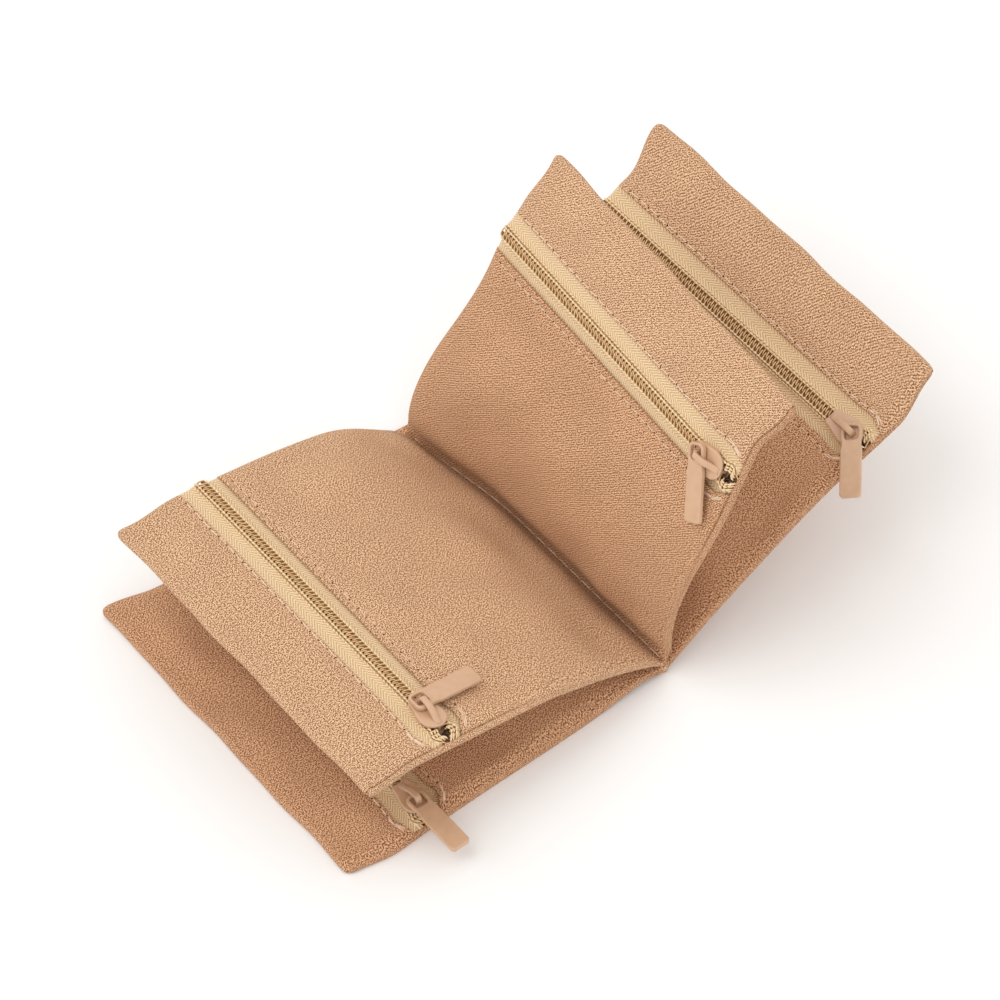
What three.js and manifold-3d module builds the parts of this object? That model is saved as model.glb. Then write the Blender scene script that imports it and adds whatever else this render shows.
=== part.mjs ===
// A jewelry roll: four flat zippered pouches of suede cloth, sewn together along one spine like
// the pages of a book. It stands half open, with one page flat on the table and three raised.
// Millimetres, +Z up. The spine runs along Y, its near end at -Y. Left pages lie towards -X and
// right pages towards +X. The origin is the middle of the spine's underside, on the table.
//
// A place on a page is given by three sizes: s, along the page from its hinge line at the spine;
// y, along the spine; and n, out of the page's middle surface towards its zippered front.

import * as THREE from 'three';
import { mergeVertices } from 'three/addons/utils/BufferGeometryUtils.js';
import Module from 'manifold-3d';

const wasm = await Module();
wasm.setup();

// Pages and cloth
const PAGE_LENGTH = 105;
const PAGE_WIDTH = 100;
const CLOTH = 0.9;
const PRESSED_CLOTH = 0.45;
const PRESS_REACH = 6;
const LAYER_GAP = 0.3;
const POUCH_FILL = 2.5;
const FILL_REACH = 28;
const SIDE_FILL = 22;
const SIDE_SLOPE = 4.2;
const BEND_REACH = 62;
const REST_REACH = 26;

// Spine seam
const SPINE_WIDTH = 3;
const SPINE_HEIGHT = 4.3;
const SPINE_ROUND = 0.5;
const LOWER_STRIP_HEIGHT = 2.4;

// Zipper: a coil sewn on a woven tape, half of it on each side of the slit
const ZIP_FROM_EDGE = 26;
const ZIP_BAND = 11.4;
const TAPE = 0.5;
const TAPE_SLIT = 2.6;
const TAPE_LAP = 4;
const TAPE_INSET = 2;
const COIL_PITCH = 1.27;
const COIL_HEIGHT = 1.3;
const COIL_BACK = 1.75;
const COIL_VALLEY = 0.85;
const COIL_TIP = 0.3;
const COIL_INSET = 4;
const TEETH_IN_LENGTH = 3;

// Slider and its pull
const SLIDER_INSET = 10.25;
const SLIDER_LENGTH = 10.5;
const PLATE = 0.9;
const LOWER_PLATE = 0.8;
const LIP = 0.5;
const POST_WIDTH = 1.2;
const POST_LENGTH = 3.6;
const PLATE_CORNER = 1;
const NOSE_LENGTH = 2.6;
const NOSE_WIDTH = 2.4;
const BAIL_WIDTH = 1.8;
const BAIL_STRAP = 0.9;
const BAIL_SPAN = 6.3;
const BAIL_ROUND = 1;
const PULL_LENGTH = 20;
const PULL_WIDTH = 5.6;
const PULL_THICKNESS = 1.3;
const PULL_CORNER = 1.2;
const PULL_EDGE = 0.25;
const EYE_WIDTH = 3.2;
const EYE_CORNER = 1.1;
const EYE_RIM = 1;
const NECK_WIDTH = 4.8;
const NECK_LENGTH = 2.2;

// Hinge lines: the lower strip is sewn to the sides of the spine, and the upper strip on top of it
const ROOT_HALF = PRESSED_CLOTH + LAYER_GAP / 2;
const LOWER_HINGE = { offset: SPINE_WIDTH / 2 + LAYER_GAP + ROOT_HALF, height: LOWER_STRIP_HEIGHT };
const UPPER_HINGE = { offset: SPINE_WIDTH / 2, height: SPINE_HEIGHT + LAYER_GAP + ROOT_HALF };

// How each page stands. Angles are in degrees above +X, at the spine and past the bend. far_lift
// is how far the page's far end stands forward of its near end. zip_lean and edge_lean are how far
// the zipper and the outer edge are drawn along Y. A pull turns on one leg of the bail: pull_turn is
// measured from straight out along that leg's end of the slider, towards the spine.
const PAGES = [
  {
    name: 'lower_left', side: -1, hinge: LOWER_HINGE, lies_flat: true,
    root_angle: 180, edge_angle: 180, far_lift: 0, zip_lean: -3, edge_lean: 0,
    pull_on_near_leg: true, pull_turn: 0,
  },
  {
    name: 'upper_left', side: -1, hinge: UPPER_HINGE, lies_flat: false,
    root_angle: 146, edge_angle: 169.5, far_lift: 0, zip_lean: -2, edge_lean: -4,
    pull_on_near_leg: false, pull_turn: 90,
  },
  {
    name: 'upper_right', side: 1, hinge: UPPER_HINGE, lies_flat: false,
    root_angle: 97, edge_angle: 63.5, far_lift: -12, zip_lean: -12, edge_lean: -17,
    pull_on_near_leg: false, pull_turn: 118,
  },
  {
    name: 'lower_right', side: 1, hinge: LOWER_HINGE, lies_flat: false,
    root_angle: 40, edge_angle: 25.5, far_lift: 5.7, zip_lean: -2, edge_lean: 5,
    pull_on_near_leg: true, pull_turn: 45,
  },
];

// Sizes that follow from those above
const ZIP_PLACE = PAGE_WIDTH - ZIP_FROM_EDGE;
const ZIP_FLAT = ZIP_BAND / 2 + TAPE_LAP;
const ZIP_START = ZIP_PLACE - ZIP_FLAT;
const ZIP_END = ZIP_PLACE + ZIP_FLAT;
const TAPE_TOP = -CLOTH - LAYER_GAP;
const TAPE_BOTTOM = TAPE_TOP - TAPE;
const COIL_BASE = TAPE_TOP + LAYER_GAP;
const COIL_TOP = COIL_BASE + COIL_HEIGHT;
const PLATE_FLOOR = COIL_TOP + LAYER_GAP;
const PLATE_TOP = PLATE_FLOOR + PLATE;
const LOWER_PLATE_TOP = TAPE_BOTTOM - LAYER_GAP;
const SLIDER_FLOOR = LOWER_PLATE_TOP - LOWER_PLATE;
const ZIP_HALF = (CLOTH + LAYER_GAP - SLIDER_FLOOR) / 2;
const ZIP_SWELL = ZIP_HALF - CLOTH - LAYER_GAP / 2;
const SLIDER_PLACE = SLIDER_INSET - PAGE_LENGTH / 2;
const COIL_SPREAD = POST_WIDTH / 2 + LAYER_GAP + COIL_TIP;
const BAIL_GAP = PULL_THICKNESS + 2 * LAYER_GAP;
const SUNK = 0.2;

// Materials
const suede = new THREE.MeshStandardMaterial({ color: 0xcf9f76, roughness: 0.95 });
const thread = new THREE.MeshStandardMaterial({ color: 0xb98a63, roughness: 0.9 });
const tape = new THREE.MeshStandardMaterial({ color: 0xd8b98a, roughness: 0.85 });
const coil = new THREE.MeshStandardMaterial({ color: 0x9a6a35, roughness: 0.5 });
const paint = new THREE.MeshStandardMaterial({ color: 0xd6a27c, roughness: 0.45, metalness: 0.1 });

const roll = new THREE.Group();

function addMesh(name, geometry, material) {
  const mesh = new THREE.Mesh(geometry, material);
  mesh.name = name;
  roll.add(mesh);
  return mesh;
}

// Helpers for smooth steps and for places along a list

function ease(t) {
  return THREE.MathUtils.smoothstep(t, 0, 1);
}

function stationAt(stations, share) {
  const place = share * (stations.length - 1);
  const index = Math.min(Math.floor(place), stations.length - 2);
  return THREE.MathUtils.lerp(stations[index], stations[index + 1], place - index);
}

// Helpers for solids

function solidOf(geometry) {
  const bare = geometry.clone();
  bare.deleteAttribute('normal');
  bare.deleteAttribute('uv');
  const merged = mergeVertices(bare, 1e-4);
  const vertProperties = Float32Array.from(merged.attributes.position.array);
  const triVerts = Uint32Array.from(merged.index.array);
  return new wasm.Manifold(new wasm.Mesh({ numProp: 3, vertProperties, triVerts }));
}

function geometryOf(solid) {
  const mesh = solid.getMesh();
  const geometry = new THREE.BufferGeometry();
  geometry.setAttribute('position', new THREE.BufferAttribute(mesh.vertProperties, 3));
  geometry.setIndex(new THREE.BufferAttribute(mesh.triVerts, 1));
  geometry.computeVertexNormals();
  return geometry;
}

// An extruded plan outline between two heights
function plateOf(shape, low, high) {
  const options = { depth: high - low, bevelEnabled: false, curveSegments: 5 };
  const geometry = new THREE.ExtrudeGeometry(shape, options);
  geometry.translate(0, 0, low);
  return geometry;
}

// Moves every corner of a geometry, and turns its faces over where the move mirrors it
function warp(geometry, move, mirrored) {
  const warped = geometry.index ? geometry.toNonIndexed() : geometry.clone();
  warped.deleteAttribute('normal');
  warped.deleteAttribute('uv');
  const places = warped.attributes.position;
  const corner = new THREE.Vector3();
  for (let i = 0; i < places.count; i += 1) {
    corner.fromBufferAttribute(places, i);
    const moved = move(corner);
    places.setXYZ(i, moved.x, moved.y, moved.z);
  }
  const merged = mergeVertices(warped, 1e-4);
  if (mirrored) {
    merged.index.array.reverse();
  }
  merged.computeVertexNormals();
  return merged;
}

// Page form: the line of its middle surface, how thick it is, and where a place on it lies

function direction(degrees) {
  const angle = THREE.MathUtils.degToRad(degrees);
  return new THREE.Vector2(Math.cos(angle), Math.sin(angle));
}

// A bend from the angle at the spine to the outer angle, then a straight stretch
function middleLine(page) {
  const root = direction(page.root_angle);
  const edge = direction(page.edge_angle);
  const unit = new THREE.QuadraticBezierCurve(new THREE.Vector2(), root, root.clone().add(edge));
  const leg = BEND_REACH / unit.getLength();
  const control = root.clone().multiplyScalar(leg);
  const bend_end = control.clone().addScaledVector(edge, leg);
  const outer_end = bend_end.clone().addScaledVector(edge, PAGE_WIDTH - BEND_REACH);
  const line = new THREE.CurvePath();
  line.add(new THREE.QuadraticBezierCurve(new THREE.Vector2(), control, bend_end));
  line.add(new THREE.LineCurve(bend_end, outer_end));
  return line;
}

function clothAt(s) {
  return THREE.MathUtils.lerp(PRESSED_CLOTH, CLOTH, ease(s / PRESS_REACH));
}

// How far the pouch swells past its flat seams: level under the zipper, fuller over the pocket
function swellAt(s, y) {
  const from_side = PAGE_LENGTH / 2 - Math.abs(y);
  const rise = ease(s / FILL_REACH);
  const edge_fall = 1 - ease((s - ZIP_END) / (PAGE_WIDTH - ZIP_END));
  const pocket_fall = 1 - ease((s - FILL_REACH) / (ZIP_START - FILL_REACH));
  const level = ZIP_SWELL * rise * edge_fall * ease(from_side / SIDE_SLOPE);
  const pocket = POUCH_FILL * rise * pocket_fall * ease(from_side / SIDE_FILL);
  return level + pocket;
}

// Half the pouch's thickness, to the outside of its cloth
function halfAt(s, y) {
  return LAYER_GAP / 2 + clothAt(s) + swellAt(s, y);
}

function normalAt(page, s) {
  const along = page.line.getTangent(s / PAGE_WIDTH);
  return new THREE.Vector2(-along.y, along.x).multiplyScalar(page.side);
}

// How far a line along the page is drawn along Y: level over the zipper, more at the outer edge
function leanAt(page, s) {
  const past_zip = ease((s - ZIP_END) / (PAGE_WIDTH - ZIP_END));
  return page.zip_lean * ease(s / ZIP_START) + (page.edge_lean - page.zip_lean) * past_zip;
}

function placeOn(page, s, y, n) {
  const share = s / PAGE_WIDTH;
  const middle = page.line.getPoint(share);
  const normal = normalAt(page, s);
  const lift = (page.far_lift * y / PAGE_LENGTH) * ease(s / BEND_REACH);
  const x = page.side * page.hinge.offset + middle.x + normal.x * n + page.edge_normal.x * lift;
  let z = page.hinge.height + middle.y + normal.y * n + page.edge_normal.y * lift;
  if (page.lies_flat) {
    const root_lift = (page.hinge.height - ROOT_HALF) * (1 - ease(s / REST_REACH));
    z = halfAt(s, y) + root_lift + n;
  }
  return new THREE.Vector3(x, y + leanAt(page, s), z);
}

// A layer of cloth or tape on a page, between two heights over a grid of stations
function layer(page, s_stations, y_stations, lowAt, highAt) {
  const box = new THREE.BoxGeometry(1, 1, 1, s_stations.length - 1, y_stations.length - 1, 1);
  const move = (corner) => {
    const s = stationAt(s_stations, corner.x + 0.5);
    const y = stationAt(y_stations, corner.y + 0.5);
    const n = corner.z > 0 ? highAt(s, y) : lowAt(s, y);
    return placeOn(page, s, y, n);
  };
  return warp(box, move, page.side < 0);
}

// Stations from one place up to another, without the first
function stationsTo(from, to, steps) {
  return Array.from({ length: steps }, (_, i) => THREE.MathUtils.lerp(from, to, (i + 1) / steps));
}

const FRONT_STATIONS = [
  0,
  ...stationsTo(0, PRESS_REACH, 2),
  ...stationsTo(PRESS_REACH, FILL_REACH, 3),
  ...stationsTo(FILL_REACH, ZIP_START, 3),
];
const EDGE_STATIONS = [ZIP_END, ...stationsTo(ZIP_END, PAGE_WIDTH, 3)];

// Stations along a page's length: close together over the slopes at the two side seams
const HALF_LENGTH_STATIONS = [
  ...stationsTo(0, PAGE_LENGTH / 2 - SIDE_FILL, 1),
  ...stationsTo(PAGE_LENGTH / 2 - SIDE_FILL, PAGE_LENGTH / 2 - SIDE_SLOPE, 3),
  ...stationsTo(PAGE_LENGTH / 2 - SIDE_SLOPE, PAGE_LENGTH / 2, 2),
];
const LENGTH_STATIONS = [...HALF_LENGTH_STATIONS.map((y) => -y).reverse(), 0, ...HALF_LENGTH_STATIONS];

function addCloth(page) {
  const front_edge = ZIP_PLACE - ZIP_BAND / 2;
  const strip_edge = ZIP_PLACE + ZIP_BAND / 2;
  const outside = (s, y) => halfAt(s, y);
  const inside = (s, y) => halfAt(s, y) - clothAt(s);
  const back_inside = (s, y) => -inside(s, y);
  const back_outside = (s, y) => -outside(s, y);
  const front = [...FRONT_STATIONS, front_edge];
  const strip = [strip_edge, ...EDGE_STATIONS];
  const back = [...FRONT_STATIONS, ...EDGE_STATIONS];
  const lengths = LENGTH_STATIONS;
  addMesh(`${page.name}_front_panel`, layer(page, front, lengths, inside, outside), suede);
  addMesh(`${page.name}_edge_strip`, layer(page, strip, lengths, inside, outside), suede);
  addMesh(`${page.name}_back_panel`, layer(page, back, lengths, back_outside, back_inside), suede);
}

// Zipper tapes and coils. The two halves part round the slider's post and stay apart behind it.

function partingAt(y) {
  const chain_end = SLIDER_PLACE + SLIDER_LENGTH / 3;
  const post_end = SLIDER_PLACE - SLIDER_LENGTH / 2 + POST_LENGTH;
  return COIL_SPREAD * ease((chain_end - y) / (chain_end - post_end));
}

function addTape(page, half, hand) {
  const slit = TAPE_SLIT / 2;
  const y_end = PAGE_LENGTH / 2 - TAPE_INSET;
  const y_flat = PAGE_LENGTH / 2 - SIDE_SLOPE;
  const y_chain = SLIDER_PLACE + SLIDER_LENGTH / 3;
  const y_post = SLIDER_PLACE - SLIDER_LENGTH / 2 + POST_LENGTH;
  const y_stations = [-y_end, -y_flat, y_post, (y_post + y_chain) / 2, y_chain, y_flat, y_end];
  const box = new THREE.BoxGeometry(1, 1, 1, 1, y_stations.length - 1, 1);
  const move = (corner) => {
    const y = stationAt(y_stations, corner.y + 0.5);
    const reach = corner.x > 0 ? ZIP_FLAT : slit + partingAt(y);
    const s = ZIP_PLACE + hand * reach;
    const n = halfAt(ZIP_PLACE, y) + (corner.z > 0 ? TAPE_TOP : TAPE_BOTTOM);
    return placeOn(page, s, y, n);
  };
  addMesh(`${page.name}_tape_${half}`, warp(box, move, page.side * hand < 0), tape);
}

// One coil half as a rack of pointed teeth, its points meshing half a pitch from the other's. The
// rack is made in short lengths joined end to end, so that its back follows the parting.
function addCoil(page, half, hand) {
  const y_end = PAGE_LENGTH / 2 - COIL_INSET;
  const phase = hand > 0 ? 0 : COIL_PITCH / 2;
  const teeth = Math.floor((2 * y_end - COIL_PITCH) / COIL_PITCH);
  const valleyAt = (i) => phase + i * COIL_PITCH - y_end;
  const lengths = [];
  for (let first = 0; first < teeth; first += TEETH_IN_LENGTH) {
    const last = Math.min(first + TEETH_IN_LENGTH, teeth);
    const rack = new THREE.Shape();
    rack.moveTo(COIL_BACK, valleyAt(first));
    rack.lineTo(COIL_VALLEY, valleyAt(first));
    for (let i = first; i < last; i += 1) {
      rack.lineTo(-COIL_TIP, valleyAt(i + 0.5));
      rack.lineTo(COIL_VALLEY, valleyAt(i + 1));
    }
    rack.lineTo(COIL_BACK, valleyAt(last));
    lengths.push(solidOf(plateOf(rack, COIL_BASE, COIL_TOP)));
  }
  const whole = lengths.reduce((joined, length) => joined.add(length));
  const move = (corner) => {
    const s = ZIP_PLACE + hand * (corner.x + partingAt(corner.y));
    return placeOn(page, s, corner.y, ZIP_HALF + corner.z);
  };
  const mirrored = page.side * hand < 0;
  addMesh(`${page.name}_coil_${half}`, warp(geometryOf(whole), move, mirrored), coil);
}

// Slider: two plates joined by a post, lips that hold the coils in, and a bail for the pull.
// Its own axes are x across the zipper, y along it and z out of the page.

// Half the width of the channel that the coils run in
function channelAt(y) {
  return COIL_BACK + LAYER_GAP + partingAt(y + SLIDER_PLACE);
}

function sliderOutline() {
  const chain_end = SLIDER_LENGTH / 2;
  const nose_start = NOSE_LENGTH - chain_end;
  const chain_half = channelAt(chain_end) + LIP;
  const steps = 4;
  const right = [];
  for (let i = 0; i <= steps; i += 1) {
    const y = THREE.MathUtils.lerp(chain_end - PLATE_CORNER, nose_start, i / steps);
    right.push(new THREE.Vector2(channelAt(y) + LIP, y));
  }
  const shape = new THREE.Shape();
  shape.moveTo(0, chain_end);
  shape.lineTo(chain_half - PLATE_CORNER, chain_end);
  shape.quadraticCurveTo(chain_half, chain_end, right[0].x, right[0].y);
  right.slice(1).forEach((point) => shape.lineTo(point.x, point.y));
  const wide = right[steps].x;
  shape.quadraticCurveTo(wide, -chain_end, NOSE_WIDTH / 2, -chain_end);
  shape.lineTo(-NOSE_WIDTH / 2, -chain_end);
  shape.quadraticCurveTo(-wide, -chain_end, -wide, nose_start);
  right.slice(0, steps).reverse().forEach((point) => shape.lineTo(-point.x, point.y));
  shape.quadraticCurveTo(-chain_half, chain_end, PLATE_CORNER - chain_half, chain_end);
  return shape;
}

function channelOutline() {
  const steps = 6;
  const reach = SLIDER_LENGTH / 2 + 1;
  const right = [];
  for (let i = 0; i <= steps; i += 1) {
    const y = THREE.MathUtils.lerp(reach, -reach, i / steps);
    right.push(new THREE.Vector2(channelAt(y), y));
  }
  const left = right.map((point) => new THREE.Vector2(-point.x, point.y)).reverse();
  return new THREE.Shape([...right, ...left]);
}

// The post is a wedge, pointed towards the closed chain
function postOutline() {
  const near = SUNK - SLIDER_LENGTH / 2;
  const half = POST_WIDTH / 2;
  const shape = new THREE.Shape();
  shape.moveTo(-half, near);
  shape.lineTo(half, near);
  shape.lineTo(half, near + POST_LENGTH / 2);
  shape.lineTo(0, near + POST_LENGTH);
  shape.lineTo(-half, near + POST_LENGTH / 2);
  return shape;
}

// A strap that stands on two legs, bent from flat stock, drawn on y and z
function bailGeometry() {
  const outer = BAIL_SPAN / 2 + BAIL_STRAP / 2;
  const inner = BAIL_SPAN / 2 - BAIL_STRAP / 2;
  const foot = PLATE_TOP - SUNK;
  const under = PLATE_TOP + BAIL_GAP;
  const top = under + BAIL_STRAP;
  const inner_round = BAIL_ROUND / 2;
  const shape = new THREE.Shape();
  shape.moveTo(-outer, foot);
  shape.lineTo(-inner, foot);
  shape.lineTo(-inner, under - inner_round);
  shape.quadraticCurveTo(-inner, under, inner_round - inner, under);
  shape.lineTo(inner - inner_round, under);
  shape.quadraticCurveTo(inner, under, inner, under - inner_round);
  shape.lineTo(inner, foot);
  shape.lineTo(outer, foot);
  shape.lineTo(outer, top - BAIL_ROUND);
  shape.quadraticCurveTo(outer, top, outer - BAIL_ROUND, top);
  shape.lineTo(BAIL_ROUND - outer, top);
  shape.quadraticCurveTo(-outer, top, -outer, top - BAIL_ROUND);
  const geometry = plateOf(shape, -BAIL_WIDTH / 2, BAIL_WIDTH / 2);
  const upright = new THREE.Matrix4().makeBasis(
    new THREE.Vector3(0, 1, 0),
    new THREE.Vector3(0, 0, 1),
    new THREE.Vector3(1, 0, 0),
  );
  return geometry.applyMatrix4(upright);
}

function sliderGeometry() {
  const outline = sliderOutline();
  const plate = solidOf(plateOf(outline, PLATE_FLOOR, PLATE_TOP));
  const lip_block = solidOf(plateOf(outline, COIL_BASE, PLATE_FLOOR + SUNK));
  const channel = solidOf(plateOf(channelOutline(), COIL_BASE - SUNK, PLATE_FLOOR));
  const lower_plate = solidOf(plateOf(outline, SLIDER_FLOOR, LOWER_PLATE_TOP));
  const post = solidOf(plateOf(postOutline(), LOWER_PLATE_TOP - SUNK, PLATE_FLOOR + SUNK));
  const bail = solidOf(bailGeometry());
  const body = plate.add(lip_block.subtract(channel)).add(lower_plate).add(post).add(bail);
  return geometryOf(body);
}

// Pull: a flat tab with a rounded eye, a shallow neck under the eye and a square foot. It is drawn
// with the eye at the origin and the tab along -Y.
function pullGeometry() {
  const eye_half = EYE_WIDTH / 2;
  const tab_half = PULL_WIDTH / 2;
  const neck_half = NECK_WIDTH / 2;
  const head = eye_half + EYE_RIM;
  const neck_start = -head;
  const neck_end = neck_start - NECK_LENGTH;
  const foot = head - PULL_LENGTH;
  const shape = new THREE.Shape();
  shape.moveTo(tab_half, 0);
  shape.quadraticCurveTo(tab_half, head, 0, head);
  shape.quadraticCurveTo(-tab_half, head, -tab_half, 0);
  shape.bezierCurveTo(-tab_half, neck_start / 2, -neck_half, neck_start / 2, -neck_half, neck_start);
  shape.quadraticCurveTo(-neck_half, neck_end, -tab_half, neck_end);
  shape.lineTo(-tab_half, foot + PULL_CORNER);
  shape.quadraticCurveTo(-tab_half, foot, PULL_CORNER - tab_half, foot);
  shape.lineTo(tab_half - PULL_CORNER, foot);
  shape.quadraticCurveTo(tab_half, foot, tab_half, foot + PULL_CORNER);
  shape.lineTo(tab_half, neck_end);
  shape.quadraticCurveTo(neck_half, neck_end, neck_half, neck_start);
  shape.bezierCurveTo(neck_half, neck_start / 2, tab_half, neck_start / 2, tab_half, 0);
  const straight = eye_half - EYE_CORNER;
  const eye = new THREE.Path();
  eye.moveTo(-straight, eye_half);
  eye.lineTo(straight, eye_half);
  eye.quadraticCurveTo(eye_half, eye_half, eye_half, straight);
  eye.lineTo(eye_half, -straight);
  eye.quadraticCurveTo(eye_half, -eye_half, straight, -eye_half);
  eye.lineTo(-straight, -eye_half);
  eye.quadraticCurveTo(-eye_half, -eye_half, -eye_half, -straight);
  eye.lineTo(-eye_half, straight);
  eye.quadraticCurveTo(-eye_half, eye_half, -straight, eye_half);
  shape.holes.push(eye);
  const geometry = new THREE.ExtrudeGeometry(shape, {
    depth: PULL_THICKNESS - 2 * PULL_EDGE,
    bevelEnabled: true,
    bevelThickness: PULL_EDGE,
    bevelSize: PULL_EDGE,
    bevelOffset: -PULL_EDGE,
    bevelSegments: 1,
    curveSegments: 3,
  });
  geometry.translate(0, 0, PULL_EDGE);
  return geometry;
}

// The slider's axes on a page: across the zipper, along it and out of the page
function sliderFrame(page) {
  const along_page = page.line.getTangent(ZIP_PLACE / PAGE_WIDTH);
  const across = new THREE.Vector3(along_page.x, 0, along_page.y).multiplyScalar(page.side);
  const slope = page.far_lift / PAGE_LENGTH;
  const normal = page.edge_normal;
  const along = new THREE.Vector3(normal.x * slope, 1, normal.y * slope).normalize();
  const out = new THREE.Vector3().crossVectors(across, along);
  const frame = new THREE.Matrix4().makeBasis(across, along, out);
  return frame.setPosition(placeOn(page, ZIP_PLACE, SLIDER_PLACE, ZIP_HALF));
}

function addSlider(page) {
  const frame = sliderFrame(page);
  const slider = addMesh(`${page.name}_slider`, sliderGeometry(), paint);
  slider.applyMatrix4(frame);
  const leg = page.pull_on_near_leg ? -BAIL_SPAN / 2 : BAIL_SPAN / 2;
  const straight_out = page.pull_on_near_leg ? 0 : 180;
  const towards_spine = page.pull_on_near_leg ? -page.side : page.side;
  const turn = THREE.MathUtils.degToRad(straight_out + towards_spine * page.pull_turn);
  const pull = addMesh(`${page.name}_pull`, pullGeometry(), paint);
  pull.position.set(0, leg, PLATE_TOP + LAYER_GAP);
  pull.rotation.z = turn;
  pull.applyMatrix4(frame);
}

// Spine: the seam where all the layers of both strips are sewn flat
function addSpine() {
  const half = SPINE_WIDTH / 2;
  const shape = new THREE.Shape();
  shape.moveTo(-half, 0);
  shape.lineTo(half, 0);
  shape.lineTo(half, SPINE_HEIGHT - SPINE_ROUND);
  shape.quadraticCurveTo(half, SPINE_HEIGHT, half - SPINE_ROUND, SPINE_HEIGHT);
  shape.lineTo(SPINE_ROUND - half, SPINE_HEIGHT);
  shape.quadraticCurveTo(-half, SPINE_HEIGHT, -half, SPINE_HEIGHT - SPINE_ROUND);
  const geometry = plateOf(shape, -PAGE_LENGTH / 2, PAGE_LENGTH / 2);
  geometry.rotateX(Math.PI / 2);
  addMesh('spine_seam', geometry, thread);
}

addSpine();
for (const page of PAGES) {
  page.line = middleLine(page);
  page.edge_normal = normalAt(page, PAGE_WIDTH);
  addCloth(page);
  addTape(page, 'inner', -1);
  addTape(page, 'outer', 1);
  addCoil(page, 'inner', -1);
  addCoil(page, 'outer', 1);
  addSlider(page);
}

export default roll;
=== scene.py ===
"""Looks of the jewelry roll: four zippered suede pouches sewn along one spine.

Sizes are in millimetres and become metres when a mesh is made. A place on a page is given by s,
along the page from the spine; y, along the spine; and n, out of the page towards its zippered front.
"""

import math

import bpy
import numpy as np
from mathutils import Matrix, Vector


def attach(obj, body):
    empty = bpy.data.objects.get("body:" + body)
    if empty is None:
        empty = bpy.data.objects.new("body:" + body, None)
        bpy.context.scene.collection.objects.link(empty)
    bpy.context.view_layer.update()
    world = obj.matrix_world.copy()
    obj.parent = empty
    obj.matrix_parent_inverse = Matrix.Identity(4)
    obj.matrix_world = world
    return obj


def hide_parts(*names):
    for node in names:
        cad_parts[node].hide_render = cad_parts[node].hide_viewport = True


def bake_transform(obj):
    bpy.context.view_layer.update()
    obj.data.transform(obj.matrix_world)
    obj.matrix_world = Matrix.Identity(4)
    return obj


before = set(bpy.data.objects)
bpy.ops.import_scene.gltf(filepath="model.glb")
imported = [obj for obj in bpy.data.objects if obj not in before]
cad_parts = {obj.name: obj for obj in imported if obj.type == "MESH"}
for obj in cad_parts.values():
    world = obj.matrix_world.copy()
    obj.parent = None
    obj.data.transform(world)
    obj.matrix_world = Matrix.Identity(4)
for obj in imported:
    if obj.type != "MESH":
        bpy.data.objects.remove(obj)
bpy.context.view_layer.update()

MM = 0.001
ROOT = "lower_left"

# Pages and cloth, as in the construction
PAGE_LENGTH = 105.0
PAGE_WIDTH = 100.0
CLOTH = 0.9
PRESSED_CLOTH = 0.45
PRESS_REACH = 6.0
LAYER_GAP = 0.3
POUCH_FILL = 2.5
FILL_REACH = 28.0
SIDE_FILL = 22.0
SIDE_SLOPE = 4.2
BEND_REACH = 62.0
REST_REACH = 26.0
ROOT_HALF = PRESSED_CLOTH + LAYER_GAP / 2

# Zipper, as in the construction
ZIP_PLACE = 74.0
ZIP_FLAT = 9.7
ZIP_START = ZIP_PLACE - ZIP_FLAT
ZIP_END = ZIP_PLACE + ZIP_FLAT
ZIP_HALF = 2.0
ZIP_SWELL = ZIP_HALF - CLOTH - LAYER_GAP / 2
TAPE = 0.5
TAPE_TOP = -1.2
TAPE_SLIT = 1.3
COIL_PITCH = 1.27
COIL_BASE = -0.9
COIL_TOP = 0.4
COIL_BACK = 1.75
SLIDER_PLACE = -42.25
SLIDER_LENGTH = 10.5
PARTING = 1.2
POST_LENGTH = 3.6
PLATE_FLOOR = 0.7
PLATE_TOP = 1.6
LIP_FOOT = 0.05
SHOULDER = -2.0
LOWER_PLATE_TOP = -2.0
LOWER_PLATE = 0.8
BAIL_SPAN = 6.3
BAIL_GAP = 1.9
BAIL_STRAP = 0.9
BAIL_WIDTH = 1.75
PULL_LENGTH = 20.0
PULL_WIDTH = 5.6
PULL_THICKNESS = 1.3
EYE_WIDTH = 3.7
EYE_RIM = 0.75

# Looks of the cloth: its turned far sides, the welt along its near sides, its folds and its thread
RIM_HALF = 1.2
RIM_ROUND = 1.5
SIDE_TUCK = 0.3
SEAM_DEPTH = 0.4
END_SLOPE = 1.8
END_ROLL = 1.7
WELT_ROLL = 0.75
WELT_HEIGHT = 1.2
WELT_SEAM = 1.25
WELT_TURN = 0.55
WELT_COVER = 0.3
WELT_START = 30.0
CORNER_ROUND = 4.0
FOLD_ROUND = 0.42
STITCH_PITCH = 3.5
STITCH_LENGTH = 2.9
STITCH_RADIUS = 0.17
FRONT_EDGE = ZIP_PLACE - 5.7
STRIP_EDGE = ZIP_PLACE + 6.6
INNER_STITCH = FRONT_EDGE - 1.9
OUTER_STITCH = STRIP_EDGE + 0.9
SPINE_STITCH_PITCH = 4.6
SPINE_TOP = 3.7
SPINE_SKEW = (-4.6, -3.0)
SKEW_START = 5.0
SKEW_REACH = 47.0
SPINE_MIDDLE = 1.8
SPINE_HALF_HEIGHT = 1.7
SPINE_HALF_WIDTH = 1.25
SPINE_THREAD_X = -0.6
SPINE_THREAD_HEIGHT = 1.7
SPINE_THREAD_RADIUS = 0.12
INNER_STITCH_RADIUS = 0.11
NEEDLE_HOLE = 0.24
# Painted shade: a dark disc in the hollow between the parted coil halves, its place along the zipper and
# its radius.
HOLLOW_SHADE_PLACE = -49.4
HOLLOW_SHADE_RADIUS = 0.75
GAP_PLACE = -49.2

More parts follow.
